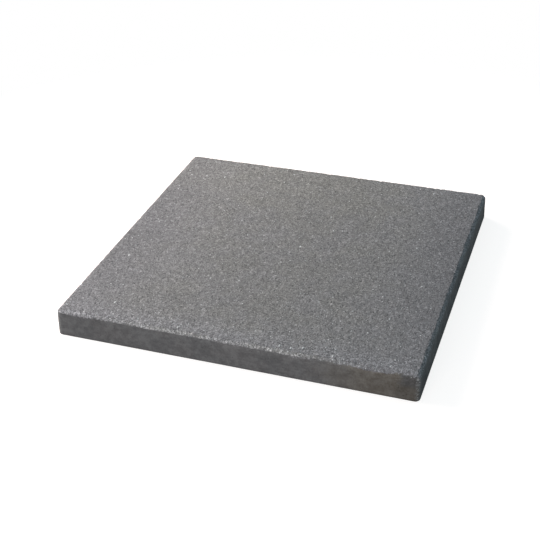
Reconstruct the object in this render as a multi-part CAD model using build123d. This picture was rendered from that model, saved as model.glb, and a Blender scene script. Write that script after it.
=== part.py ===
"""A square concrete paver: one solid casting with a chamfered walking face.

The paver is cast face down, so its four walls lean in from the bed (the underside, where the mould is open)
to the walking face. It lies on its bed with the origin at the middle of that face: X runs along the front
edge, Y runs from the front edge to the back edge and Z points up.
"""

import os
from math import atan2, degrees

from build123d import *

# Driving dimensions, in millimetres.
SIDE = 500.0  # side of the square at the bed, before the bed's edge is rounded
THICKNESS = 40.0  # bed to walking face
WALL_DRAFT = 1.0  # how far each wall leans in over the whole thickness, so that the mould lets go
FACE_CORNER_RADIUS = 2.0  # plan radius of the walking face's corners, inside the chamfer
ARRIS_WIDTH = 4.0  # chamfer round the walking face, measured along that face
ARRIS_HEIGHT = 4.0  # the same chamfer, measured down the wall
ARRIS_SOFTENING = 1.0  # rounding of both edges of the chamfer, where blasting has worn the mortar back
BED_RADIUS = 2.0  # rounding of the lower edge, where the slurry curls at the mould's rim


def cast_block():
    """The drafted block as it leaves the mould, before its edges are worked.

    The upright corners grow from the walking face outwards: past the chamfer, then past the draft.
    """
    bed_corner_radius = FACE_CORNER_RADIUS + ARRIS_WIDTH + WALL_DRAFT
    draft_angle = degrees(atan2(WALL_DRAFT, THICKNESS))
    with BuildPart() as block:
        with BuildSketch():
            RectangleRounded(SIDE, SIDE, bed_corner_radius)
        extrude(amount=THICKNESS, taper=draft_angle)
    return block.part


def level_loops(solid):
    """The closed loops of edges that lie flat, from the lowest to the highest."""
    return solid.edges().filter_by(Plane.XY).group_by(Axis.Z)


def chamfer_walking_face(block):
    """Cuts the arris round the walking face and softens the two edges that it leaves."""
    walking_face = block.faces().sort_by(Axis.Z)[-1]
    cut = chamfer(walking_face.edges(), length=ARRIS_WIDTH, length2=ARRIS_HEIGHT, reference=walking_face)
    _, lower_edge, upper_edge = level_loops(cut)
    return fillet(lower_edge + upper_edge, radius=ARRIS_SOFTENING)


def round_bed_edge(block):
    """Rounds the lower edge, all round the flat bed."""
    bed_edge = level_loops(block)[0]
    return fillet(bed_edge, radius=BED_RADIUS)


def make_paver():
    """The finished paver, one solid."""
    return round_bed_edge(chamfer_walking_face(cast_block()))


paver = make_paver()
paver.label = "paver"
os.makedirs("parts", exist_ok=True)
export_step(paver, "parts/paver.step")
print(f"paver: {paver.bounding_box().size}, {paver.volume / 1e9:.6f} cubic metres")
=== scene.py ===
# %% [markdown]
# # A concrete paver
#
# The real object is one casting: a square slab of grey concrete that lies on its bed. Its walls keep
# the smooth, dark skin of the mould. The walking face and the small chamfer round it, called the
# arris, are blasted after casting, and there the sand and the pale grit of the concrete come to light.
#
# The solid that comes with the frame has the right sizes but a perfect surface. This lesson replaces it
# with one closed mesh of the same form, whose grain, worn edges, blowholes and crystals are real
# geometry, and paints it with one procedural material.

from math import ceil, pi, radians, sin, tan

import bpy
import numpy as np
from mathutils import Matrix, Quaternion, Vector, noise


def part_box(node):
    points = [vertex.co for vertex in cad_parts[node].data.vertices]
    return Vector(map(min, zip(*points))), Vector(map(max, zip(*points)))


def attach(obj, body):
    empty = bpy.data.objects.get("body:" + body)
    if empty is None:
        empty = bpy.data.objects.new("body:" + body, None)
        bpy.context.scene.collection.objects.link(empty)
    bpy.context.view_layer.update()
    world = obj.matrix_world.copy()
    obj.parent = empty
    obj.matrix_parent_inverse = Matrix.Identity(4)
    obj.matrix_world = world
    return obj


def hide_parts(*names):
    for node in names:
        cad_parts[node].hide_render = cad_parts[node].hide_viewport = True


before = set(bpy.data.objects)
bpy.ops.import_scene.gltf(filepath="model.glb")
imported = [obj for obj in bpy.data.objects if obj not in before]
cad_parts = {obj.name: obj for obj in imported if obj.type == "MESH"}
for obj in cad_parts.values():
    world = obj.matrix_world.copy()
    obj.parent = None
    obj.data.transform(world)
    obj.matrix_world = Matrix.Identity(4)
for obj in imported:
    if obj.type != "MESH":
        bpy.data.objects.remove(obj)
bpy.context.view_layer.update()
low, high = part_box("paver")
print("CAD box of the paver:", tuple(low), tuple(high))

# %% [markdown]
# ## The section
#
# Cut the slab through and look at one edge: a flat bed, a small round where the slurry curled at the
# mould's rim, a wall that leans in so that the mould lets go, then the chamfer and the walking face. A
# bevel modifier could round a box like this, but it gives no say in where the rows of vertices run. So
# the section is drawn once, as a path from the bed to the walking face, and every point of it later
# becomes one ring round the slab.
#
# All reaches are measured outwards from an inner square, the core. The core's corners are sharp, and
# the rings round it grow a rounder corner the further out they lie, just as offsets of a square do.

# %% Sizes of the section
MM = 0.001
FACE_CORNER_RADIUS = 2.0 * MM  # plan radius of the walking face's corners
ARRIS = 4.0 * MM  # width and height of the chamfer
ARRIS_SOFTENING = 1.0 * MM  # rounding of the chamfer's two edges
WALL_DRAFT = 1.0 * MM  # how far a wall leans in over the thickness
BED_RADIUS = 2.0 * MM  # rounding of the lower edge
SPACING = 2.2 * MM  # longest step between vertices, about the size of a coarse grain of sand

thickness = high.z - low.z
arris_foot = thickness - ARRIS  # height at which the blasted chamfer meets the cast wall
reach = FACE_CORNER_RADIUS + ARRIS + WALL_DRAFT  # from the core to the foot of a wall
section_corners = [
    Vector((0.0, 0.0)),
    Vector((reach, 0.0)),
    Vector((reach - WALL_DRAFT * arris_foot / thickness, arris_foot)),
    Vector((FACE_CORNER_RADIUS, thickness)),
    Vector((0.0, thickness)),
]
section_radii = [BED_RADIUS, ARRIS_SOFTENING, ARRIS_SOFTENING]
print(f"slab {thickness / MM:.1f} mm thick, arris from {arris_foot / MM:.1f} mm up")

# %% [markdown]
# A rounded corner is an arc that touches both of its straight runs. Its centre lies on the line that
# halves the corner, and turning the first spoke about that centre gives the other points. The straight
# runs are divided so finely that a vertex stands for about one grain.

# %% Draw the section
ARC_POINTS = 4  # points on each rounded corner of the section


def rounded(before, corner, after, radius):
    """The points of the arc that rounds one corner of the section."""
    back = (before - corner).normalized()
    onward = (after - corner).normalized()
    half_angle = back.angle(onward) / 2
    centre = corner + (back + onward).normalized() * radius / sin(half_angle)
    spoke = corner + back * radius / tan(half_angle) - centre
    turn = (pi - 2 * half_angle) / (ARC_POINTS - 1)
    return [centre + Matrix.Rotation(turn * i, 2) @ spoke for i in range(ARC_POINTS)]


def divided(start, end):
    """The points between two ends of a straight run, no further apart than the spacing."""
    steps = max(1, ceil((end - start).length / SPACING))
    return [start.lerp(end, i / steps) for i in range(1, steps)]


path = [section_corners[0]]
arc_starts = []
for i, radius in enumerate(section_radii):
    arc = rounded(*section_corners[i : i + 3], radius)
    path += divided(path[-1], arc[0])
    arc_starts.append(len(path))
    path += arc
path += divided(path[-1], section_corners[-1])
path.append(section_corners[-1])
wall_row, arris_row, brow_row = arc_starts  # where the lower edge and the arris's two edges begin
section = np.array([tuple(point) for point in path])
print(f"section: {len(section)} points")

# %% [markdown]
# Two measures of the section are needed later. How far each point lies along the path tells which part
# of the surface it belongs to, and the direction square to the path is the way in which relief pushes.

# %% Measure the section
along = np.concatenate([[0.0], np.cumsum(np.linalg.norm(np.diff(section, axis=0), axis=1))])
tangents = np.gradient(section, axis=0)
tangents /= np.linalg.norm(tangents, axis=1, keepdims=True)
section_normals = np.stack([tangents[:, 1], -tangents[:, 0]], axis=1)
core_half = high.x - section[:, 0].max()
half_side = core_half + reach
print(f"core {2 * core_half / MM:.1f} mm square, section {along[-1] / MM:.1f} mm long")

# %% [markdown]
# ## Rings round the core
#
# Every point of the section is carried round the core. Along a side the rings run straight, and at a
# corner they fan out round the core's corner. The outline below holds, for one ring, the foot of each
# vertex on the core and the direction in which it stands out.

# %% Walk round the core
CELLS = 228  # cells along one side of the core; a multiple of four, for the bed
CORNER_CELLS = 4  # cells round one upright corner; an even number, so that two walls can share it
FRONT = Vector((0.0, -1.0))

feet = []
outward = []
for side in range(4):
    quarter = Matrix.Rotation(side * pi / 2, 2)
    for i in range(CELLS + 1):
        feet.append(tuple(quarter @ Vector((core_half * (2 * i / CELLS - 1), -core_half))))
        outward.append(tuple(quarter @ FRONT))
    for i in range(1, CORNER_CELLS):
        feet.append(tuple(quarter @ Vector((core_half, -core_half))))
        outward.append(tuple(quarter @ Matrix.Rotation(pi / 2 * i / CORNER_CELLS, 2) @ FRONT))
feet = np.array(feet)
outward = np.array(outward)
round_count = len(feet)

ring_points = []
ring_normals = []
for (reach_out, height), (out, rise) in zip(section[1:-1], section_normals[1:-1]):
    ring_points.append(np.column_stack([feet + outward * reach_out, np.full(round_count, height)]))
    ring_normals.append(np.column_stack([outward * out, np.full(round_count, rise)]))
print(f"{len(ring_points)} rings of {round_count} vertices")

# %% [markdown]
# ## The two flat fields
#
# Inside the rings lie two flat fields. The walking face gets a full grid, because its grain is what the
# eye reads first. The bed is never seen in use, so two bands of triangles halve the count of cells
# twice on the way in, and a coarser grid fills the rest. That keeps the mesh closed and saves most of
# the bed's triangles.


# %% Grids for the walking face and the bed
def grid_points(half, cells, height):
    """The vertices of a square grid, row by row from the front-left corner."""
    ticks = np.linspace(-half, half, cells + 1)
    x, y = np.meshgrid(ticks, ticks)
    return np.column_stack([x.ravel(), y.ravel(), np.full(x.size, height)])


def grid_border(cells):
    """Numbers of a grid's border vertices, anticlockwise from the front-left corner."""
    grid = np.arange((cells + 1) ** 2).reshape(cells + 1, cells + 1)
    return np.concatenate([grid[0, :-1], grid[:-1, -1], grid[-1, :0:-1], grid[:0:-1, 0]])


BED_BAND = 8.0 * MM  # width of each band in which the bed's cells double in size
bed_cells = CELLS // 4
middle_half = core_half - BED_BAND
blocks = {
    "rings": np.concatenate(ring_points),
    "face": grid_points(core_half, CELLS, thickness),
    "bed_rim": grid_points(core_half, CELLS, 0.0)[grid_border(CELLS)],
    "bed_middle": grid_points(middle_half, CELLS // 2, 0.0)[grid_border(CELLS // 2)],
    "bed": grid_points(middle_half - BED_BAND, bed_cells, 0.0),
}
print({name: len(block) for name, block in blocks.items()})

# %% [markdown]
# ## One list of vertices
#
# All the blocks go into one array, and each block keeps the number of its first vertex. Beside the
# places stand the outward normals, along which the relief will push.

# %% Join the blocks
UP = (0.0, 0.0, 1.0)
DOWN = (0.0, 0.0, -1.0)
BED_TOLERANCE = 0.01 * MM  # a vertex lower than this lies on the bed

first = {}
count = 0
for name, block in blocks.items():
    first[name] = count
    count += len(block)
places = np.concatenate(list(blocks.values()))
normals = np.tile(DOWN, (count, 1))
normals[: first["face"]] = np.concatenate(ring_normals)
normals[first["face"] : first["bed_rim"]] = UP
numbers = np.arange(count)
on_rings = numbers < first["face"]
on_face = (numbers >= first["face"]) & (numbers < first["bed_rim"])
on_inner_bed = numbers >= first["bed_middle"]
on_bed = places[:, 2] < BED_TOLERANCE
print(f"{count} vertices in all")

# %% [markdown]
# ## Relief
#
# Blasting leaves a granular face: every vertex sits a little higher or lower than its neighbours, and a
# few are pits where a grain fell out. The cast walls only swell and dip a little, as the mould did. A
# displacement texture could do some of this, but written out in numbers each part keeps to its own
# zone, and the relief is real geometry that shows on the outline too.

# %% Noise at the vertices
SEED = 40
FADE_BELOW, FADE_ABOVE = 0.6 * MM, 0.9 * MM  # how far below and above the arris's foot the blast fades

rng = np.random.default_rng(SEED)


def scatter(limit=np.inf):
    """A random number for every vertex, about 0 with a spread of 1, and none beyond the limit."""
    return rng.standard_normal(count).clip(-limit, limit)


def cloud(size, shift, squash=1.0):
    """Smooth noise from -1 to 1 at every vertex, in lumps about `size` across, flatter by `squash`.

    Each cloud has its own `shift`, so that no two are alike.
    """
    spots = places * (1.0, 1.0, squash) / size + shift
    return np.array([noise.noise(Vector(spot)) for spot in spots])


def ease(values, start, end):
    """Goes smoothly from 0 at `start` to 1 at `end`."""
    share = np.clip((values - start) / (end - start), 0.0, 1.0)
    return share * share * (3 - 2 * share)


heights = places[:, 2]
blasted = ease(heights, arris_foot - FADE_BELOW, arris_foot + FADE_ABOVE)
print(f"{int(blasted.sum())} vertices lie on blasted concrete")

# %% [markdown]
# The blasted face has four kinds of relief: single grains, pits, clumps of a few grains, and broad waves.
# A sculpting brush could dab them on, but sums of random numbers do it evenly for more than 50,000
# vertices. A cast wall takes its form from the mould, so it has only shallow swells and ripples.

# %% Relief of the blasted face and the cast walls
GRAIN, TALLEST_GRAIN = 0.15 * MM, 2.5  # spread of the grains' heights, and the tallest in spreads
PIT_SHARE, PIT_DEPTH = 0.02, 0.55 * MM  # share of the vertices where a grain fell out, and how deep
CLUMPS, CLUMP_SIZE = 0.09 * MM, 6 * MM  # height and size of clumps of a few grains
WAVES, WAVE_SIZE = 0.10 * MM, 48 * MM  # the same of the walking face's broad waves
WALL_WAVES, WALL_WAVE_SIZE = 0.10 * MM, 38 * MM  # the mould's own swells on the walls
RIPPLES, RIPPLE_SIZE, RIPPLE_SQUASH = 0.05 * MM, 9 * MM, 2.5  # and its ripples, which lie flat
WALL_GRAIN = 0.012 * MM

grain = GRAIN * scatter(TALLEST_GRAIN)
grain -= PIT_DEPTH * (rng.random(count) < PIT_SHARE)
grain += CLUMPS * cloud(CLUMP_SIZE, shift=3.1) + WAVES * cloud(WAVE_SIZE, shift=7.7)
swell = WALL_WAVES * cloud(WALL_WAVE_SIZE, shift=1.3)
swell += RIPPLES * cloud(RIPPLE_SIZE, shift=5.9, squash=RIPPLE_SQUASH)
swell += WALL_GRAIN * scatter()
relief = blasted * grain + (1 - blasted) * swell
print(f"grain from {grain.min() / MM:.2f} to {grain.max() / MM:.2f} mm")

# %% [markdown]
# The arris is the weakest place of a slab. Its lower edge is nibbled where handling knocked out grains,
# and its upper edge, which the blast hits from two sides, has crumbled back, least of all on the right.
# The four upright corners are rubbed rounder towards the top. A displace modifier would wear the whole
# surface alike, so the wear is added here edge by edge.

# %% Wear of the arris and the corners
NIBBLE, CHIPS, CHIP_SIZE = 0.13 * MM, 1.5 * MM, 8 * MM  # fine and coarse wear of the arris's lower edge
CRUMBLE, BITES, BITE_SIZE = 0.22 * MM, 0.9 * MM, 5 * MM  # the same of its upper edge
CHIP_FADE, BITE_FADE = (0.22, 0.75), (0.10, 0.55)  # from no chip to a full one, as the noise rises
LOWER_WIDTH, UPPER_WIDTH = 1.9 * MM, 1.3 * MM  # how far the wear reaches from each edge
MOST_WEAR = 2  # the most that the fine wear reaches, in spreads
SPARED = 0.6  # share of the crumbling that the right side was spared
RIGHT_SIDE = (half_side - 8 * MM, half_side - 6 * MM)  # where that side fades in
CORNER_WEAR, CORNER_GRAIN = 0.8 * MM, 0.08 * MM
CORNER_SIZE = 6 * MM  # how far the rubbing reaches from a corner
RUBBED_HEIGHTS = (arris_foot - 8 * MM, arris_foot + 2 * MM)  # between them it grows from none to full

along_section = np.zeros(count)
along_section[on_rings] = np.repeat(along[1:-1], round_count)


def near_edge(row, width):
    """How near every vertex lies to an edge of the section, from 0 to 1."""
    middle = along[row : row + ARC_POINTS].mean()
    return np.exp(-(((along_section - middle) / width) ** 2)) * on_rings


nibble = NIBBLE * scatter(MOST_WEAR)
nibble -= CHIPS * ease(cloud(CHIP_SIZE, shift=9.4), *CHIP_FADE)
relief += nibble * near_edge(arris_row, LOWER_WIDTH)
crumble = -CRUMBLE * np.abs(scatter(MOST_WEAR))
crumble -= BITES * ease(cloud(BITE_SIZE, shift=2.6), *BITE_FADE)
at_right = ease(places[:, 0], *RIGHT_SIDE)
relief += crumble * near_edge(brow_row, UPPER_WIDTH) * (1 - SPARED * at_right)

from_corner = np.hypot(half_side - np.abs(places[:, 0]), half_side - np.abs(places[:, 1]))
at_corner = np.exp(-((from_corner / CORNER_SIZE) ** 2))
relief -= CORNER_WEAR * at_corner * ease(heights, *RUBBED_HEIGHTS)
relief += CORNER_GRAIN * at_corner * scatter(MOST_WEAR)
print(f"wear down to {relief.min() / MM:.2f} mm")

# %% [markdown]
# The bed dips a little in the middle of each hollow that the strike-off board left, and never stands
# proud of the plane that the slab rests on. Last, the vertices of the walking face are shaken sideways,
# because a grid of grains in straight rows would give itself away.

# %% Hollows of the bed, and the shaken grid
HOLLOW, HOLLOW_SIZE = 0.25 * MM, 30 * MM  # depth and size of the bed's hollows
BED_GRAIN = 0.12 * MM
SHAKE = 0.32  # how far a vertex of the walking face is shaken sideways, as a share of its cell

hollow = HOLLOW * (1 + cloud(HOLLOW_SIZE, shift=4.2)) + BED_GRAIN * np.abs(scatter())
relief = np.where(on_bed, -hollow * on_inner_bed, relief)
cell = 2 * core_half / CELLS
inner_face = on_face & (np.abs(places[:, :2]).max(axis=1) < core_half - cell / 2)
shake = SHAKE * cell * rng.uniform(-1, 1, (count, 2)) * inner_face[:, None]
shaped = places + normals * relief[:, None]
shaped[:, :2] += shake
print(f"relief from {relief.min() / MM:.2f} to {relief.max() / MM:.2f} mm")

# %% [markdown]
# ## Faces and their map
#
# The faces join ring to ring, and the fields to the rings. At the same time each corner of a face gets
# its place on a flat map, laid out as a maker of cartons would: the walking face with its arris as one
# large square, the four walls as strips above it, and the bed, which matters least, small at the side.
# An automatic unwrap would do too, but it cuts where it likes.

# %% Lay out the map
FACE_ISLAND = 0.70  # width of the walking face's island on the map
GAP = 0.006  # bare strip between islands
MAP_PIXELS = 1024  # a common size for a baked picture

below_face = along[-1] - along
map_scale = FACE_ISLAND / (2 * (core_half + below_face[arris_row]))
face_centre = np.full(2, GAP + FACE_ISLAND / 2)
strip_step = map_scale * (along[arris_row] - along[wall_row]) + GAP
strips_start = np.array([GAP + FACE_ISLAND / 2, FACE_ISLAND + 3 * GAP])
bed_scale = (1 - FACE_ISLAND - 4 * GAP) / (2 * half_side)
bed_centre = np.array([FACE_ISLAND + 3 * GAP, GAP]) + bed_scale * half_side


def face_spot(plan, row):
    """Where a ring's vertex lies on the walking face's island."""
    return face_centre + map_scale * (feet[plan] + outward[plan] * below_face[row])


def wall_spot(side, offset, row):
    """Where a ring's vertex lies on its wall's strip."""
    climb = along[row] - along[wall_row]
    return strips_start + (map_scale * offset, side * strip_step + map_scale * climb)


def bed_spot(plan, row):
    """Where a ring's vertex lies on the bed's island."""
    return bed_centre + bed_scale * (feet[plan] + outward[plan] * section[row, 0])


print(f"map: {map_scale * MM * MAP_PIXELS:.2f} pixels to a millimetre at {MAP_PIXELS} pixels")

# %% [markdown]
# Between two neighbouring vertices of a ring runs a column of faces, from the bed to the walking face.
# Each column knows its wall, and a rounded corner is shared by the two walls that meet there. The rings
# have more vertices than the fields' borders, because a corner fans out of one point, so a row of
# numbers says which vertex stands where.

# %% Columns between the rings' vertices
corner_step = reach * pi / 2 / CORNER_CELLS
columns = []  # for each column: the wall it is on, and its two ends across that wall
for side in range(4):
    ticks = np.linspace(-core_half, core_half, CELLS + 1)
    columns += [(side, left, right) for left, right in zip(ticks, ticks[1:])]
    for i in range(CORNER_CELLS // 2):
        left = core_half + corner_step * i
        columns.append((side, left, left + corner_step))
    for i in range(CORNER_CELLS // 2, 0, -1):
        left = -core_half - corner_step * i
        columns.append(((side + 1) % 4, left, left + corner_step))

side_number, place_on_side = np.divmod(np.arange(round_count), CELLS + CORNER_CELLS)
border_place = (side_number * CELLS + np.minimum(place_on_side, CELLS)) % (4 * CELLS)
ring_numbers = np.arange(first["face"]).reshape(-1, round_count)
face_border = first["face"] + grid_border(CELLS)
row_numbers = np.vstack(
    [first["bed_rim"] + border_place, ring_numbers, face_border[border_place]]
)
print(f"{len(columns)} columns in {len(row_numbers) - 1} rows")

# %% [markdown]
# Every column is now filled with quads, row by row. Where it fans out of a corner of a field, two ends of
# a quad fall on one vertex; that vertex is kept once, and a triangle is left. The row also says on which
# island of the map a face lies. A bridge of edge loops would join the rings too, but without that map.

# %% Join the rings
faces = []
face_maps = []
for row in range(len(row_numbers) - 1):
    for plan, (side, left, right) in enumerate(columns):
        after = (plan + 1) % round_count
        corners = [(row, plan, left), (row, after, right), (row + 1, after, right), (row + 1, plan, left)]
        if row >= arris_row:
            spots = [face_spot(p, r) for r, p, _ in corners]
        elif row >= wall_row:
            spots = [wall_spot(side, offset, r) for r, _, offset in corners]
        else:
            spots = [bed_spot(p, r) for r, p, _ in corners]
        ends = [int(row_numbers[r, p]) for r, p, _ in corners]
        kept = [i for i in range(4) if ends[i] not in ends[:i]]
        faces.append([ends[i] for i in kept])
        face_maps.append([spots[i] for i in kept])
print(f"{len(faces)} faces between the rings")

# %% [markdown]
# The fields come last. The walking face and the middle of the bed are plain quads. A face's front is the
# side from which its corners run anticlockwise, so those of the bed run the other way round. Each band
# of the bed has three triangles to every cell of its inner outline, which has half the cells of its outer
# one.


# %% Fill the walking face and the bed
def grid_quads(start, cells, downward=False):
    """The quads of a square grid, seen from above or from below."""
    grid = start + np.arange((cells + 1) ** 2).reshape(cells + 1, cells + 1)
    quads = np.stack([grid[:-1, :-1], grid[:-1, 1:], grid[1:, 1:], grid[1:, :-1]], axis=-1)
    quads = quads.reshape(-1, 4)
    return quads[:, ::-1] if downward else quads


def halving_band(inner, outer):
    """Triangles of the bed between a square outline and an inner one with half as many cells."""
    band = []
    for i in range(len(inner)):
        start, end = inner[i], inner[(i + 1) % len(inner)]
        left, middle, right = outer[2 * i], outer[2 * i + 1], outer[(2 * i + 2) % len(outer)]
        band += [(left, start, middle), (start, end, middle), (end, right, middle)]
    return np.array(band)


outer_loop = first["bed_rim"] + np.arange(4 * CELLS)
middle_loop = first["bed_middle"] + np.arange(2 * CELLS)
inner_loop = first["bed"] + grid_border(bed_cells)
face_start = len(faces)
for field, scale, centre in [
    (grid_quads(first["face"], CELLS), map_scale, face_centre),
    (halving_band(middle_loop, outer_loop), bed_scale, bed_centre),
    (halving_band(inner_loop, middle_loop), bed_scale, bed_centre),
    (grid_quads(first["bed"], bed_cells, downward=True), bed_scale, bed_centre),
]:
    faces += field.tolist()
    face_maps += list(centre + scale * places[field, :2])
print(f"{len(faces)} faces, {sum(len(face) - 2 for face in faces)} triangles")

# %% [markdown]
# ## Crystals and blowholes
#
# Two details are finer than the grid: crystals in the blasted concrete, and blowholes in the walls.
# Blasting bares crystals of quartz, pale flecks a millimetre or two across that stand a little proud,
# more of them along the front. Copies of a small object could be scattered, but they would be loose
# pieces in a casting. So faces are picked at random, and the few largest have places of their own.

# %% Choose faces for the crystals
CRYSTALS_ON_FACE = 400
CRYSTALS_ALONG_FRONT = 70
FRONT_ROWS = 14  # rows of cells behind the front arris that hold those crystals
CRYSTALS_ON_ARRIS = 200
CRYSTALS_ON_FRONT_ARRIS = 90
LARGE_CELLS = 2  # a large crystal fills so many cells, one behind the other
LARGE_CRYSTALS = {  # for each tone, places on the walking face in mm across and deep
    1.0: [(135, -240), (65, -240), (80, -240), (-180, -210), (-215, -90), (15, 5), (170, 225)],
    0.7: [(210, -240), (-75, -240), (95, -235), (185, -140), (180, 50), (50, 65), (-200, 180), (-170, 185)],
}

large_tones = {}  # for each face that belongs to a large crystal, its tone
for tone, spots in LARGE_CRYSTALS.items():
    for x, y in spots:
        column, row = int((x * MM + core_half) / cell), int((y * MM + core_half) / cell)
        for i in range(LARGE_CELLS):
            large_tones[face_start + (row + i) * CELLS + column] = tone
face_picks = face_start + rng.choice(CELLS * CELLS, CRYSTALS_ON_FACE, replace=False)
front_picks = face_start + rng.choice(FRONT_ROWS * CELLS, CRYSTALS_ALONG_FRONT, replace=False)
arris_columns = np.concatenate(
    [rng.integers(0, round_count, CRYSTALS_ON_ARRIS), rng.integers(0, CELLS, CRYSTALS_ON_FRONT_ARRIS)]
)
arris_rows = rng.integers(arris_row + 1, len(row_numbers) - 2, len(arris_columns))
arris_picks = arris_rows * round_count + arris_columns
picks = {*face_picks.tolist(), *front_picks.tolist(), *arris_picks.tolist()}
small_numbers = sorted(picks - {*large_tones})
rng.shuffle(small_numbers)
print(f"{len(small_numbers)} small crystals, and {len(large_tones)} faces for the large ones")

# %% [markdown]
# A blowhole is a bubble of air that clung to the mould. There are a handful in each wall, and some more
# near the ends of the front wall. A boolean could cut them, but it would leave long thin triangles, so
# faces are picked for them too.

# %% Choose faces for the blowholes
HOLES_ON_WALL = 6
HOLE_SPAN = 0.97  # share of a wall's length that has blowholes
LOWEST_HOLE, HIGHEST_HOLE = 0.12, 0.85  # as shares of the thickness
# Places of six more on the front wall, in mm from its middle and in height
SEEN_HOLES = [(-217, 33), (-213, 31), (215, 20), (222, 18), (229, 8), (234, 9)]


def wall_face(side, offset, height):
    """Number of a wall's face, from its place across the wall and its height."""
    plan = side * (CELLS + CORNER_CELLS) + int((offset + core_half) / cell)
    row = np.searchsorted(section[wall_row : arris_row + 1, 1], height) + wall_row - 1
    return int(row * round_count + plan)


hole_numbers = {wall_face(0, offset * MM, height * MM) for offset, height in SEEN_HOLES}
for side in range(4):
    for _ in range(HOLES_ON_WALL):
        offset = rng.uniform(-HOLE_SPAN, HOLE_SPAN) * core_half
        hole_numbers.add(wall_face(side, offset, rng.uniform(LOWEST_HOLE, HIGHEST_HOLE) * thickness))
hole_numbers = sorted(hole_numbers)
print(f"{len(hole_numbers)} blowholes")

# %% [markdown]
# Each small crystal and each blowhole is set into one face, and a large crystal into two. The face gives
# way to two uneven rings of eight points, the inner one lifted for a crystal and sunk for a blowhole. The
# outline of the old face stays, so the mesh stays closed, and a number on each new face tells the
# material what it is.

# %% Set one into a face
RING = 8  # points on a ring: four towards the corners of the face, and four towards its sides
CORNER_SHARE = 0.72  # how far a ring reaches towards a corner, where 1 is the corner itself
SHORTEST_SPOKE = 0.74  # a ring's points lie between this and 1 of their full way out

vertices = list(shaped)
marks = {"crystal": {}, "hole": {}}  # for each kind, the faces that belong to it and their values


def add_face(face, spot):
    """Adds a face with its place on the map, and gives its number."""
    faces.append(face)
    face_maps.append([spot[i] for i in face])
    return len(faces) - 1


def set_in(number, kind, value, size, inner_share, lift, tilt):
    """Gives a four-sided face a flush outer ring and an inner one, lifted or sunk, filled by one face."""
    outline = faces[number]
    corners = np.column_stack([np.array([vertices[i] for i in outline]), face_maps[number]])
    middle = corners.mean(axis=0)
    normal = np.cross(corners[2, :3] - corners[0, :3], corners[3, :3] - corners[1, :3])
    normal /= np.linalg.norm(normal)
    sides = (corners + np.roll(corners, -1, axis=0)) / 2
    spokes = np.stack([CORNER_SHARE * (corners - middle), sides - middle], axis=1).reshape(RING, -1)
    spokes *= rng.uniform(SHORTEST_SPOKE, 1.0, (RING, 1))
    outer = middle + size * spokes
    inner = middle + size * inner_share * spokes
    inner[:, :3] += np.outer(lift + tilt * rng.uniform(-1, 1, RING), normal)
    ring = [len(vertices) + i for i in range(RING)]
    core = [len(vertices) + RING + i for i in range(RING)]
    vertices.extend([*outer[:, :3], *inner[:, :3]])
    spot = dict(zip([*outline, *ring, *core], [*corners[:, 3:], *outer[:, 3:], *inner[:, 3:]]))

    marks[kind][add_face(core, spot)] = value
    for i in range(RING):
        after = (i + 1) % RING
        marks[kind][add_face([ring[i], ring[after], core[after], core[i]], spot)] = value
    skirt = []
    for i in range(4):
        start, end = outline[i], outline[(i + 1) % 4]
        skirt.append([start, end, ring[2 * i + 1]])
        skirt.append([start, ring[2 * i + 1], ring[2 * i]])
        skirt.append([end, ring[(2 * i + 2) % RING], ring[2 * i + 1]])
    faces[number], *rest = skirt
    face_maps[number] = [spot[i] for i in faces[number]]
    for face in rest:
        add_face(face, spot)


print("ready to set crystals and blowholes")

# %% [markdown]
# Most crystals are dull and only a few shine out, so the cube of a random number gives their tones. The
# large ones lie nearly flat, and the small ones tilt every way. A blowhole is deeper than a crystal is
# high, and narrows towards its floor.

# %% Set them all
CRYSTAL_LIFT, CRYSTAL_TOP = 0.22 * MM, 0.82  # height of a crystal, and its top's share of its foot
SMALL_TILT, LARGE_TILT = 0.12 * MM, 0.04 * MM  # how unevenly the top lies
SMALL_SIZES = (0.72, 1.0)  # smallest and largest, as shares of a face
DULLEST = 0.1  # tone of the dullest crystal, where the brightest is 1
HOLE_DEPTH, HOLE_FLOOR = 0.9 * MM, 0.7  # depth of a blowhole, and its floor's share of its mouth
HOLE_TILT = 0.15 * MM
HOLE_SIZES = (0.6, 0.95)

for number, tone in large_tones.items():
    set_in(number, "crystal", tone, 1.0, CRYSTAL_TOP, CRYSTAL_LIFT, LARGE_TILT)
for number in small_numbers:
    tone = DULLEST + (1 - DULLEST) * rng.random() ** 3
    set_in(number, "crystal", tone, rng.uniform(*SMALL_SIZES), CRYSTAL_TOP, CRYSTAL_LIFT, SMALL_TILT)
for number in hole_numbers:
    set_in(number, "hole", 1.0, rng.uniform(*HOLE_SIZES), HOLE_FLOOR, -HOLE_DEPTH, HOLE_TILT)
print(f"{len(marks['crystal'])} faces of crystals, {len(marks['hole'])} faces of blowholes")

# %% [markdown]
# ## The mesh
#
# The lists become a mesh. Crystals keep their flat facets, and everything else is shaded smooth. Every
# edge of a closed mesh is used by exactly two faces, so a count of the uses shows any hole or stray
# face.

# %% Make the mesh
mesh = bpy.data.meshes.new("cast_paver")
mesh.from_pydata([tuple(point) for point in vertices], [], faces)
bake_map = mesh.uv_layers.new(name="OFBake")
bake_map.uv.foreach_set("vector", np.concatenate(face_maps).ravel())
smooth = np.ones(len(faces), bool)
smooth[list(marks["crystal"])] = False
mesh.polygons.foreach_set("use_smooth", smooth)
for kind, marked in marks.items():
    values = np.zeros(len(faces))
    values[list(marked)] = list(marked.values())
    mesh.attributes.new(kind, "FLOAT", "FACE").data.foreach_set("value", values)
uses = np.zeros(len(mesh.edges), int)
np.add.at(uses, [loop.edge_index for loop in mesh.loops], 1)
print("closed:", bool((uses == 2).all()), "and sound:", not mesh.validate())
print(f"{sum(len(face) - 2 for face in faces)} triangles")
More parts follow.
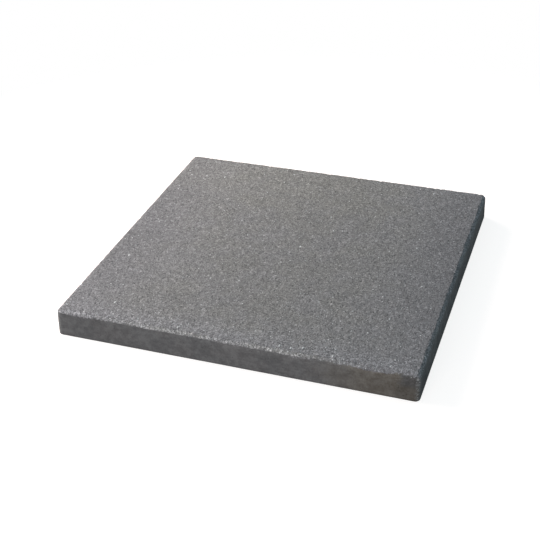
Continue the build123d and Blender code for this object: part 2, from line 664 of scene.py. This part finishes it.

# %% [markdown]
# The casting has no moving part, so it rides on the frame's one body. It replaces the plain solid, which
# would otherwise show through it.


# %% Put the paver in the frame
def placed(name, data):
    """An object in the scene that shows a mesh, a lamp or a camera."""
    made = bpy.data.objects.new(name, data)
    bpy.context.scene.collection.objects.link(made)
    return made


paver = placed("cast_paver", mesh)
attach(paver, "root")
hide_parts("paver")

# %% [markdown]
# ## Shader maths as Python
#
# A material is a graph of nodes, and long sums of nodes are hard to read. The small class below wraps a
# socket, so that `1 - mask` or `tone * 0.8` adds the Math nodes by itself. Anything that isn't a plain
# sum comes from its one method `node`.


# %% A wire for shader sums
def ramp_stops(ramp, count):
    """The stops of a colour ramp, after adding as many as are missing."""
    while len(ramp.elements) < count:
        ramp.elements.new(1.0)
    return ramp.elements


class Wire:
    """A socket of a node tree that can be added to, multiplied and fed on, as if it were a number."""

    def __init__(self, tree, socket=None):
        self.tree = tree
        self.socket = socket

    def node(self, kind, settings=None, sockets=None, output=0):
        """Adds a node: its settings, then the values or wires of its sockets. Gives one output or more."""
        made = self.tree.nodes.new(kind)
        for name, value in (settings or {}).items():
            if name == "stops":
                for stop, (position, grey) in zip(ramp_stops(made.color_ramp, len(value)), value):
                    stop.position = position
                    stop.color = (grey, grey, grey, 1.0)
            else:
                setattr(made, name, value)
        for name, value in (sockets or {}).items():
            if isinstance(value, Wire):
                self.tree.links.new(value.socket, made.inputs[name])
            elif made.inputs[name].type == "RGBA":
                made.inputs[name].default_value = (*value, 1.0)
            else:
                made.inputs[name].default_value = value
        if isinstance(output, tuple):
            return [Wire(self.tree, made.outputs[name]) for name in output]
        return Wire(self.tree, made.outputs[output]) if made.outputs else None

    def maths(self, operation, *values):
        """Adds a Math node."""
        return self.node("ShaderNodeMath", {"operation": operation}, dict(enumerate(values)))

    def __add__(self, other):
        return self.maths("ADD", self, other)

    def __radd__(self, other):
        return self.maths("ADD", other, self)

    def __sub__(self, other):
        return self.maths("SUBTRACT", self, other)

    def __rsub__(self, other):
        return self.maths("SUBTRACT", other, self)

    def __mul__(self, other):
        return self.maths("MULTIPLY", self, other)

    def __rmul__(self, other):
        return self.maths("MULTIPLY", other, self)

    def __abs__(self):
        return self.maths("ABSOLUTE", self)


def blank_sheet(owner):
    """The emptied node tree of a material or a world, to draw wires on."""
    owner.use_nodes = True
    owner.node_tree.nodes.clear()
    return Wire(owner.node_tree)


print("shader sums are ready")

# %% [markdown]
# A few words cover what concrete needs. The first are about masks and colours: a mask that rises from one
# value to another, a mix of two colours, a colour made darker or paler, and a factor that varies about 1.


# %% Words for masks and colours
def rising(value, start, end):
    """A mask that goes smoothly from 0 at `start` to 1 at `end`."""
    sockets = {"Value": value, "From Min": start, "From Max": end}
    return value.node("ShaderNodeMapRange", {"interpolation_type": "SMOOTHSTEP"}, sockets)


FACTOR, COLOUR_A, COLOUR_B, RESULT = 0, 6, 7, 2  # numbers of a Mix node's sockets for colours


def mixed(share, one, other):
    """A colour between two: the first where the share is 0, the second where it is 1."""
    sockets = {FACTOR: share, COLOUR_A: one, COLOUR_B: other}
    return share.node("ShaderNodeMix", {"data_type": "RGBA"}, sockets, output=RESULT)


def toned(colour, tone):
    """A colour made darker or paler by a value."""
    settings = {"data_type": "RGBA", "blend_type": "MULTIPLY"}
    sockets = {FACTOR: 1.0, COLOUR_A: colour, COLOUR_B: tone}
    return tone.node("ShaderNodeMix", settings, sockets, output=RESULT)


def varied(value, strength):
    """A factor about 1, which a value from 0 to 1 moves by `strength` from end to end."""
    return 1 - strength / 2 + strength * value


print("words for masks and colours are ready")

# %% [markdown]
# The others are about patterns. Cloudy noise gives patches. Cells of a Voronoi texture are a good likeness
# of close-packed grains, and the random colour of a cell gives each grain its own tone. A picture of real
# sand would do as well close up, but it repeats, and these don't.


# %% Words for patterns
def stretched(vector, factors):
    """A place scaled by three factors, so that a pattern grows longer where the factor is under 1."""
    return vector.node("ShaderNodeVectorMath", {"operation": "MULTIPLY"}, {0: vector, 1: factors})


NOISE_MIDDLE = 0.5  # the value that cloudy noise lies about


def lumps(vector, size, detail=2.0, roughness=0.5):
    """Cloudy noise from 0 to 1, in lumps about `size` across."""
    sockets = {"Vector": vector, "Scale": 1 / size, "Detail": detail, "Roughness": roughness}
    return vector.node("ShaderNodeTexNoise", {}, sockets)


def grains(vector, size):
    """Close-packed grains about `size` across: the distance from a grain's middle, and its number."""
    sockets = {"Vector": vector, "Scale": 1 / size}
    distance, colour = vector.node("ShaderNodeTexVoronoi", {}, sockets, output=("Distance", "Color"))
    return distance, colour.node("ShaderNodeSeparateColor", {}, {0: colour})


def grey_ramp(value, stops):
    """Turns a value into another by way of a ramp of greys."""
    return value.node("ShaderNodeValToRGB", {"stops": stops}, {0: value})


print("words for patterns are ready")

# %% [markdown]
# ## The concrete
#
# One material covers the whole casting, because it is one casting. It asks of every point where it
# lies: above the arris's foot the concrete is blasted, below it the skin of the mould is left, and
# underneath is the bed. The line between blasted and cast is ragged and wanders up and down by a few
# millimetres, most of all on the right, so two sizes of noise move it. At the right end of the front the
# skin climbs over the arris. From here on, a pair of values called a fade is the stretch over which a mask
# rises from 0 to 1; where it lies across or deep, it is in metres from the slab's middle.

# %% Where each finish lies
RAGGED_SIZE, RAGGED_HEIGHT = 3.0 * MM, 6.0 * MM  # the fine noise that moves the line
WANDER_SIZE, WANDER_HEIGHT = 26 * MM, 8.0 * MM  # the broad noise
WANDER_GAIN, GAIN_FADE = 7.0 * MM, (0.0, 0.15)  # what the broad noise gains on the right
CLIMB, CLIMB_FADE = 3.2 * MM, (0.175, 0.235)  # how far the skin climbs, and where
FRONT_FADE = (3 * MM - half_side, 6 * MM - half_side)
RIGHT_FADE = (half_side - 6 * MM, half_side - 3 * MM)
BLAST_FADE = (arris_foot - 0.5 * MM, arris_foot + 0.5 * MM)
BED_FADE = (0.3 * MM, 1.6 * MM)

concrete = bpy.data.materials.new("blasted_concrete")
sheet = blank_sheet(concrete)
here = sheet.node("ShaderNodeTexCoord", output="Object")
across, deep, up = here.node("ShaderNodeSeparateXYZ", {}, {0: here}, output=("X", "Y", "Z"))

ragged = (lumps(here, RAGGED_SIZE) - NOISE_MIDDLE) * RAGGED_HEIGHT
wander_height = WANDER_HEIGHT + WANDER_GAIN * rising(across, *GAIN_FADE)
wander = (lumps(here, WANDER_SIZE) - NOISE_MIDDLE) * wander_height
on_front = 1 - rising(deep, *FRONT_FADE)
on_right = rising(across, *RIGHT_FADE)
climb = CLIMB * rising(across, *CLIMB_FADE) * on_front * (1 - on_right)
is_blasted = rising(up + ragged + wander - climb, *BLAST_FADE)
is_under = 1 - rising(up, *BED_FADE)
print("zones: blasted, cast and bed")

# %% [markdown]
# The blasted finish is sand in cement paste. Most grains are mid grey, some are near black and a few
# are pale. A second, coarser layer stands for the grit, and dust lies over both. The grains lie a
# little longer from front to back, the way that the mix was spread.

# %% Sand and grit
SAND = 1.3 * MM
GRIT = 3.2 * MM
DUST = 0.7 * MM
SPREAD_WAY = (1.0, 0.7, 1.0)
PALE_FADE = (0.35, 0.9)  # numbers of the grains that count as pale
DUST_STRENGTH = 0.3
EVEN_TONE = 4.0  # both lists of tones lie about 0.5, and this brings their product back to about 1
SAND_TONES = [(0.0, 0.23), (0.1, 0.36), (0.28, 0.44), (0.5, 0.49), (0.75, 0.56), (0.93, 0.66), (1.0, 0.80)]
GRIT_TONES = [(0.0, 0.44), (0.3, 0.485), (0.7, 0.51), (0.92, 0.55), (1.0, 0.66)]

spread = stretched(here, SPREAD_WAY)
sand_distance, sand_number = grains(spread, SAND)
_, grit_number = grains(spread, GRIT)
dust = lumps(here, DUST)
pale_grain = rising(sand_number, *PALE_FADE)
sand_and_grit = grey_ramp(sand_number, SAND_TONES) * grey_ramp(grit_number, GRIT_TONES) * EVEN_TONE
sand_and_grit = sand_and_grit * varied(dust, DUST_STRENGTH)
print("sand and grit strewn")

# %% [markdown]
# The walking face gets painted light and shade: painted light along the front and back, with paler grains
# in a band along the front, and painted shade towards the left and right sides, most of all further back.
# Masks by place do this with a few sums, where a painted texture would need a picture.

# %% Painted light and shade on the walking face
ARRIS_FADE = (arris_foot - 1.0 * MM, arris_foot + 0.5 * MM)
BROW_FADE = (thickness - 0.7 * MM, thickness - 0.1 * MM)
BAND_FADE = (-0.243, -0.20)
EVEN_SHADING = 0.963  # tone of the face's middle
ENDS_PAINTED_LIGHT, ENDS_FADE = 0.04, (0.06, 0.22)
SIDES_PAINTED_SHADE, SIDES_FADE = 0.025, (0.15, 0.235)
BACK_PAINTED_SHADE, BACK_FADE = 0.06, (-0.21, -0.10)
BAND_PAINTED_LIGHT, BAND_GRAINS_PAINTED_LIGHT = 0.035, 0.09

on_arris = rising(up, *ARRIS_FADE) * (1 - rising(up, *BROW_FADE))
front_band = (1 - rising(deep, *BAND_FADE)) * (1 - on_arris)
# painted light along the front and back and in a band along the front, painted shade towards the sides and
# back
painted_shading = EVEN_SHADING + ENDS_PAINTED_LIGHT * rising(abs(deep), *ENDS_FADE)
painted_shade = (SIDES_PAINTED_SHADE + BACK_PAINTED_SHADE * rising(deep, *BACK_FADE)) * rising(abs(across), *SIDES_FADE)
painted_shading = painted_shading - painted_shade * (1 - on_arris)
painted_shading = painted_shading + front_band * (BAND_PAINTED_LIGHT + BAND_GRAINS_PAINTED_LIGHT * pale_grain)
print("bite of the blast set")

# %% [markdown]
# The worn arris is the palest of all, above all along the left half of the front: partly bare stone where
# the edge was knocked most, and partly a painted highlight, which the right part gets too. That is more a
# matter of colour than of form, so it is painted by a mask, not modelled.

# %% Bare stone and painted highlight on the arris
FRONT_SIDE_FADE, RIGHT_PART_FADE = (-0.240, -0.225), (0.05, 0.17)
KNOCKED_AND_LIT_ELSEWHERE, KNOCKED_AND_LIT_RIGHT = 0.15, 0.28  # where the left half of the front is 1
BARE_AND_HIGHLIGHT_PALER, BARE_GRAINS_AND_HIGHLIGHT_PALER, BARE_GRAINS_FADE = 0.28, 0.48, (0.5, 0.95)

front_side = 1 - rising(deep, *FRONT_SIDE_FADE)
right_part = rising(across, *RIGHT_PART_FADE)
knocked_and_lit = (1 - right_part) * (KNOCKED_AND_LIT_ELSEWHERE + (1 - KNOCKED_AND_LIT_ELSEWHERE) * front_side)
knocked_and_lit = knocked_and_lit + KNOCKED_AND_LIT_RIGHT * right_part
bare_grains = rising(sand_number, *BARE_GRAINS_FADE)
# partly bare stone, partly a painted highlight along the arris
bare_edge_and_highlight = 1 + on_arris * knocked_and_lit * (BARE_AND_HIGHLIGHT_PALER + BARE_GRAINS_AND_HIGHLIGHT_PALER * bare_grains)
print("arris bared")

# %% [markdown]
# The paste itself is a neutral grey with a faint warm cast in broad patches, and painted warm light lies
# towards the back on the left. Where more of it was taken off, at the sides and along the front, the
# cooler stone shows. One grey would look flat, so two close ones are mixed by a mask.

# %% Blasted concrete
COOL_GREY = (0.2180, 0.2070, 0.2145)
WARM_GREY = (0.2205, 0.2080, 0.1985)
EVEN_WARMTH = 0.46
PATCHES_WARMER, PATCH_SIZE, PATCH_FADE = 0.32, 45 * MM, (0.35, 0.65)
SIDES_COOLER, COOL_SIDES_FADE = 0.75, (0.10, 0.24)
BAND_COOLER = 0.7
BACK_LEFT_PAINTED_WARM_LIGHT, WARM_BACK_FADE, WARM_LEFT_FADE = 0.35, (0.05, 0.18), (0.03, 0.15)

warmth = EVEN_WARMTH + PATCHES_WARMER * rising(lumps(here, PATCH_SIZE), *PATCH_FADE)
warmth = warmth * (1 - SIDES_COOLER * rising(abs(across), *COOL_SIDES_FADE))
warmth = warmth * (1 - BAND_COOLER * front_band)
# painted warm light towards the back on the left
warmth = warmth + BACK_LEFT_PAINTED_WARM_LIGHT * rising(deep, *WARM_BACK_FADE) * (1 - rising(across, *WARM_LEFT_FADE))
blasted_colour = toned(mixed(warmth, COOL_GREY, WARM_GREY), sand_and_grit * painted_shading * bare_edge_and_highlight)
print("blasted concrete mixed")

# %% [markdown]
# The cast skin is smoother and darker, and cloudy where the paste dried unevenly. Clouds, flat streaks,
# blotches and fines of four sizes are added up, and two greys with a slightly different cast take
# turns. Small dark pores are cells of a coarse Voronoi texture of which only one in four is used.

# %% Cast skin
VIOLET_GREYS = [(0.125, 0.1185, 0.1175), (0.197, 0.188, 0.185)]
PLAIN_GREYS = [(0.122, 0.1175, 0.1175), (0.192, 0.186, 0.184)]
TURN_SIZE, TURN_FADE = 30 * MM, (0.4, 0.6)  # how the two take turns
CLOUD_SIZE, CLOUD_SHARE = 24 * MM, 0.22
STREAK_SIZE, STREAK_SHARE, STREAK_WAY = 14 * MM, 0.23, (1.0, 1.0, 5.0)
BLOTCH_SIZE, BLOTCH_SHARE = 9 * MM, 0.55
FINES_SIZE, FINES_SHARE, FINES_FADE = 2.2 * MM, 0.36, (0.3, 0.7)
UNEVEN_FADE = (0.40, 0.62)
PORE_CELL, PORE_FADE, PORE_CHOICE = 4.5 * MM, (0.08, 0.20), (0.74, 0.78)

clouds = lumps(here, CLOUD_SIZE, detail=4.0, roughness=0.6)
streaks = lumps(stretched(here, STREAK_WAY), STREAK_SIZE, detail=3.0)
blotches = lumps(here, BLOTCH_SIZE, detail=3.0, roughness=0.6)
fines = rising(lumps(here, FINES_SIZE), *FINES_FADE)
unevenness = clouds * CLOUD_SHARE + streaks * STREAK_SHARE + blotches * BLOTCH_SHARE
cloudiness = (1 - FINES_SHARE) * rising(unevenness, *UNEVEN_FADE) + FINES_SHARE * fines
turns = rising(lumps(here, TURN_SIZE), *TURN_FADE)
skin = mixed(turns, mixed(cloudiness, *VIOLET_GREYS), mixed(cloudiness, *PLAIN_GREYS))
pore_distance, pore_number = grains(here, PORE_CELL)
pores = (1 - rising(pore_distance, *PORE_FADE)) * rising(pore_number, *PORE_CHOICE)
print("cast skin mixed")

# %% [markdown]
# Towards its right end the front wall has a brown stain, and the last few centimetres are darker still,
# greyer above than below. The other three walls are more mottled. A stain could be painted by hand, but
# a mask by place, whose edge the clouds push about, stays right however the mesh is unwrapped.

# %% Stains and mottling
BROWNS = [(0.124, 0.106, 0.088), (0.198, 0.178, 0.156)]
STAIN_FADE, STAIN_WANDER = (0.09, 0.20), 0.09  # where it fades in, and how far clouds move that
END_FADE, END_WANDER = (0.216, 0.229), 0.05  # the same of the dark end
UPPER_FADE = (17 * MM, 27 * MM)
STAIN_COVER, GREYER_ABOVE = 0.9, 0.75
END_DARKER, DARKER_ABOVE = 0.24, 0.14
MOTTLE_SIZE, MOTTLE_FADE, MOTTLE_STRENGTH = 20 * MM, (0.35, 0.65), 0.22

stain = rising(across + (clouds - NOISE_MIDDLE) * STAIN_WANDER, *STAIN_FADE) * on_front
dark_end = rising(across + (clouds - NOISE_MIDDLE) * END_WANDER, *END_FADE) * on_front
upper_part = rising(up, *UPPER_FADE)
cover = stain * (STAIN_COVER - GREYER_ABOVE * dark_end * upper_part)
skin = mixed(cover, skin, mixed(cloudiness, *BROWNS))
skin = toned(skin, 1 - dark_end * (END_DARKER + DARKER_ABOVE * upper_part))
mottle = rising(lumps(here, MOTTLE_SIZE, detail=3.0, roughness=0.6), *MOTTLE_FADE)
skin = toned(skin, 1 + (1 - on_front) * (MOTTLE_STRENGTH * mottle - MOTTLE_STRENGTH / 2))
print("stains laid on")

# %% [markdown]
# The upright corners are rubbed, so pale grains show through the skin there, and their round also gets a
# painted highlight. On the right half the skin just below the arris gets painted light. The right wall has
# painted light above and painted shade below, and the foot of every wall is a little darker.

# %% Rubbed and lit corners, painted light and shade on the skin, and darker foot
RUBBED_AND_LIT_GREY = (0.310, 0.307, 0.303)
RUBBED_AND_LIT, RUBBED_AND_LIT_GRAINS = 0.15, 0.75  # how much of it shows, and how much more on pale grains
CORNER_FADE = (half_side - 8 * MM, half_side - 2.5 * MM)
UPPER_SKIN_PAINTED_LIGHT, UPPER_SKIN_GRAINS_PAINTED_LIGHT = 0.10, 0.26
UPPER_SKIN_HEIGHT_FADE, UPPER_SKIN_SIDE_FADE = (arris_foot - 10 * MM, arris_foot + 1 * MM), (-0.15, 0.03)
RIGHT_PAINTED_SHADE, RIGHT_PAINTED_LIGHT_ABOVE, RIGHT_HEIGHT_FADE = 0.13, 0.28, (2 * MM, arris_foot)
FOOT_DARKER, FOOT_WANDER, FOOT_FADE = 0.18, 4 * MM, (0.5 * MM, 4 * MM)
PORES_DARKER = 0.3

corner = rising(abs(across), *CORNER_FADE) * rising(abs(deep), *CORNER_FADE)
# pale rubbed corners, partly a painted highlight on their round
skin = mixed(corner * (RUBBED_AND_LIT + RUBBED_AND_LIT_GRAINS * pale_grain), skin, RUBBED_AND_LIT_GREY)
# painted light on the skin just below the arris, on the right half
upper_skin_light = rising(up + wander, *UPPER_SKIN_HEIGHT_FADE) * rising(across, *UPPER_SKIN_SIDE_FADE)
skin = toned(skin, 1 + upper_skin_light * (UPPER_SKIN_PAINTED_LIGHT + UPPER_SKIN_GRAINS_PAINTED_LIGHT * pale_grain))
# painted light on the upper part of the right wall, painted shade on its lower part
skin = toned(skin, 1 + on_right * (RIGHT_PAINTED_LIGHT_ABOVE * rising(up, *RIGHT_HEIGHT_FADE) - RIGHT_PAINTED_SHADE))
darker_foot = 1 - rising(up + (clouds - NOISE_MIDDLE) * FOOT_WANDER, *FOOT_FADE)
skin = toned(skin, (1 - darker_foot * FOOT_DARKER) * (1 - PORES_DARKER * pores))
print("corners rubbed")

# %% [markdown]
# The bed was the open side of the mould. It was struck off with a board, so it is paler and dusty, with
# drag lines from side to side and the same small pores. Noise that is stretched ten times gives the
# lines.

# %% Bed
BED_GREYS = [(0.190, 0.188, 0.183), (0.270, 0.267, 0.259)]
BED_CLOUD_SIZE, BED_TONE_FADE = 35 * MM, (0.3, 0.7)
DRAG_SIZE, DRAG_SHARE, DRAG_WAY = 6 * MM, 0.5, (0.1, 1.0, 1.0)
BED_DUST_STRENGTH = 0.28
BED_PORES_DARKER = 0.6

drag = lumps(stretched(here, DRAG_WAY), DRAG_SIZE, detail=3.0, roughness=0.6)
bed_clouds = lumps(here, BED_CLOUD_SIZE, detail=4.0, roughness=0.6)
bed_tone = bed_clouds * (1 - DRAG_SHARE) + drag * DRAG_SHARE
bed_colour = mixed(rising(bed_tone, *BED_TONE_FADE), *BED_GREYS)
bed_colour = toned(bed_colour, varied(dust, BED_DUST_STRENGTH) * (1 - BED_PORES_DARKER * pores))
print("bed mixed")

# %% [markdown]
# The finishes are laid over each other by their masks: skin first, then blasted concrete, the bed, the
# crystals and the painted shade and dust of the blowholes. The numbers on the faces, read by Attribute
# nodes, say where crystals and blowholes are.

# %% Lay the finishes over each other
CRYSTAL_GREYS = [(0.31, 0.31, 0.31), (0.76, 0.75, 0.74)]
CRYSTAL_FADE = (0.02, 0.05)  # a face with a lower number is no crystal
HOLE_SHADE_AND_DUST = 0.35
CAST_ROUGHNESS, CLOUDS_ROUGHER, BLAST_ROUGHER, CRYSTAL_SMOOTHER = 0.60, 0.12, 0.22, 0.5

crystal = sheet.node("ShaderNodeAttribute", {"attribute_name": "crystal"}, output="Fac")
hole = sheet.node("ShaderNodeAttribute", {"attribute_name": "hole"}, output="Fac")
is_crystal = rising(crystal, *CRYSTAL_FADE)
colour = mixed(is_blasted, skin, blasted_colour)
colour = mixed(is_under, colour, bed_colour)
colour = mixed(is_crystal, colour, mixed(crystal, *CRYSTAL_GREYS))
# painted shade and dust in the blowholes
colour = toned(colour, 1 - HOLE_SHADE_AND_DUST * hole)
roughness = CAST_ROUGHNESS + CLOUDS_ROUGHER * clouds + is_blasted * BLAST_ROUGHER
roughness = roughness - is_crystal * CRYSTAL_SMOOTHER
print("finishes laid over each other")

# %% [markdown]
# What is finer than the mesh is left to bump: each grain of sand is a small dome, the skin has a faint
# grain, pores are dents, and the drag lines are grooves. Concrete hardly shines, so its specular level
# is close to none.

# %% Bump and shader
BUMP_DEPTH, BUMP_STRENGTH = 0.35 * MM, 0.8
DOME_SHARE = 0.6  # of a grain's bump; dust has the rest
SKIN_GRAIN_SIZE, SKIN_GRAIN_BUMP = 1.6 * MM, 0.25
BED_DUST_BUMP, DRAG_BUMP, PORE_BUMP = 0.3, 1.6, 0.8
SPECULAR_LEVEL = 0.002

sand_dome = (1 - sand_distance) * DOME_SHARE + dust * (1 - DOME_SHARE)
bump_height = lumps(here, SKIN_GRAIN_SIZE, detail=3.0) * SKIN_GRAIN_BUMP + is_blasted * sand_dome
bump_height = bump_height + is_under * (dust * BED_DUST_BUMP + drag * DRAG_BUMP)
bump_height = bump_height - (1 - is_blasted) * pores * PORE_BUMP
bump = {"Strength": BUMP_STRENGTH, "Distance": BUMP_DEPTH, "Height": bump_height}
surface = sheet.node("ShaderNodeBump", {}, bump, output="Normal")
finish = {"Base Color": colour, "Roughness": roughness, "Normal": surface}
finish["Specular IOR Level"] = SPECULAR_LEVEL
shader = sheet.node("ShaderNodeBsdfPrincipled", {}, finish)
sheet.node("ShaderNodeOutputMaterial", {}, {"Surface": shader})
mesh.materials.append(concrete)
print(f"concrete: {len(concrete.node_tree.nodes)} nodes")

# %% [markdown]
# ## Floor
#
# The paver lies on a plain floor: one large square at the height of the bed, which belongs to the stage
# and not to the object.

# %% Lay the floor
FLOOR_HALF = 8.0  # metres

floor_mesh = bpy.data.meshes.new("floor")
ends = [(-1, -1), (1, -1), (1, 1), (-1, 1)]
floor_mesh.from_pydata([(FLOOR_HALF * x, FLOOR_HALF * y, 0.0) for x, y in ends], [], [(0, 1, 2, 3)])
floor = placed("floor", floor_mesh)
print("floor laid")

# %% [markdown]
# The floor is white to look at. The Light Path node tells the rays that look at it, from the camera or by
# way of a shiny or clear surface, from those that only carry light. To the first the floor is white: near
# the paver a glow plus a share of the lamps' light, which keeps the soft shadow, and further off white
# alone. To the others it is a dim grey, so that it lights the walls no more than it should.

# %% Paint the floor
WHITE = (1.0, 1.0, 1.0)
FLOOR_BOUNCE = (0.16, 0.16, 0.16)  # what the floor gives back to the paver
FLOOR_GLOW = 0.80  # what is seen of the floor where no light falls
SHADE_SHARE = (0.55, 0.465, 0.435)  # what the light adds to it, so that the paver's shadow shows
NEAR, FAR = 0.5, 0.9  # metres from the paver's middle between which the floor turns plain white


def is_looked_at(wire):
    """A mask that is 1 for rays that look at a surface, and 0 for those that only carry light."""
    names = ("Is Camera Ray", "Is Glossy Ray", "Is Transmission Ray")
    seen, mirrored, refracted = wire.node("ShaderNodeLightPath", output=names)
    return wire.maths("MAXIMUM", wire.maths("MAXIMUM", seen, mirrored), refracted)


floor_paint = bpy.data.materials.new("white_floor")
floor_mesh.materials.append(floor_paint)
ground = blank_sheet(floor_paint)
bounce = ground.node("ShaderNodeBsdfDiffuse", {}, {"Color": FLOOR_BOUNCE})
shaded = ground.node("ShaderNodeBsdfDiffuse", {}, {"Color": SHADE_SHARE})
glow = ground.node("ShaderNodeEmission", {}, {"Color": WHITE, "Strength": FLOOR_GLOW})
near_look = ground.node("ShaderNodeAddShader", {}, {0: glow, 1: shaded})
far_look = ground.node("ShaderNodeEmission", {}, {"Color": WHITE, "Strength": 1.0})
floor_place = ground.node("ShaderNodeTexCoord", output="Object")
length = {"operation": "LENGTH"}
from_middle = ground.node("ShaderNodeVectorMath", length, {0: floor_place}, output="Value")
is_far = rising(from_middle, NEAR, FAR)
backdrop = ground.node("ShaderNodeMixShader", {}, {0: is_far, 1: near_look, 2: far_look})
floor_look = ground.node("ShaderNodeMixShader", {}, {0: is_looked_at(ground), 1: bounce, 2: backdrop})
ground.node("ShaderNodeOutputMaterial", {}, {"Surface": floor_look})
print("floor painted")

# %% [markdown]
# ## Light
#
# The sky does the same as the floor: it is white to look at, and dim and slightly blue as a light, so
# that the wall on the right stays cool and dark.

# %% Sky
SKY = (0.70, 1.0, 1.12)
SKY_STRENGTH = 0.28

world = bpy.data.worlds.new("studio")
bpy.context.scene.world = world
air = blank_sheet(world)
dim_sky = air.node("ShaderNodeBackground", {}, {"Color": SKY, "Strength": SKY_STRENGTH})
white_sky = air.node("ShaderNodeBackground", {}, {"Color": WHITE, "Strength": 1.0})
sky = air.node("ShaderNodeMixShader", {}, {0: is_looked_at(air), 1: dim_sky, 2: white_sky})
air.node("ShaderNodeOutputWorld", {}, {"Surface": sky})
print("sky set")

# %% [markdown]
# Three softboxes light the slab. One stands low on the left and near, so the walking face grows darker
# towards the right and its grain casts small shadows. A larger part of the front wall's light comes
# from one far in front. A weak one behind on the right keeps those walls from going black.


# %% Lamps
def softbox(name, place, width, height, power, colour):
    """A rectangular lamp that looks at the middle of the bed."""
    lamp = bpy.data.lights.new(name, "AREA")
    lamp.shape = "RECTANGLE"
    lamp.size = width
    lamp.size_y = height
    lamp.energy = power
    lamp.color = colour
    box = placed(name, lamp)
    box.location = place
    box.rotation_euler = (-Vector(place)).to_track_quat("-Z", "Y").to_euler()
    box.visible_camera = False


softbox("left_box", (-1.07, 0.28, 0.58), width=1.7, height=0.8, power=34.5, colour=(1.0, 0.951, 0.918))
softbox("front_box", (-0.10, -2.95, 0.62), width=1.4, height=1.0, power=38.5, colour=(1.0, 0.945, 0.955))
softbox("right_box", (1.50, 1.30, 0.45), width=1.4, height=1.0, power=4.2, colour=(0.82, 0.91, 1.0))
print("lamps hung")

# %% [markdown]
# ## Camera
#
# The camera stands where the slab's straight edges in the photograph say that it stood: with a long lens,
# about 32 degrees above the floor and 18 degrees to the right of the front wall, and with a slight roll.

# %% Camera
AZIMUTH = radians(18.11)
ELEVATION = radians(31.71)
DISTANCE = 1.6195  # metres from the middle of the bed
AIM = Vector((-0.0266, -0.0073, 0.0))  # the point that it looks at
ROLL = radians(1.147)
LENS, SENSOR_WIDTH = 72.785, 36.0  # millimetres

around = Matrix.Rotation(AZIMUTH, 3, "Z") @ Matrix.Rotation(-ELEVATION, 3, "X")
camera = placed("camera", bpy.data.cameras.new("camera"))
camera.data.sensor_width = SENSOR_WIDTH
camera.data.lens = LENS
camera.location = around @ Vector((0.0, -DISTANCE, 0.0))
aimed = (AIM - camera.location).to_track_quat("-Z", "Y")
camera.rotation_mode = "QUATERNION"
camera.rotation_quaternion = aimed @ Quaternion((0.0, 0.0, 1.0), -ROLL)
bpy.context.scene.camera = camera
bpy.context.scene.view_settings.view_transform = "Standard"
print("camera at", tuple(round(value, 3) for value in camera.location))
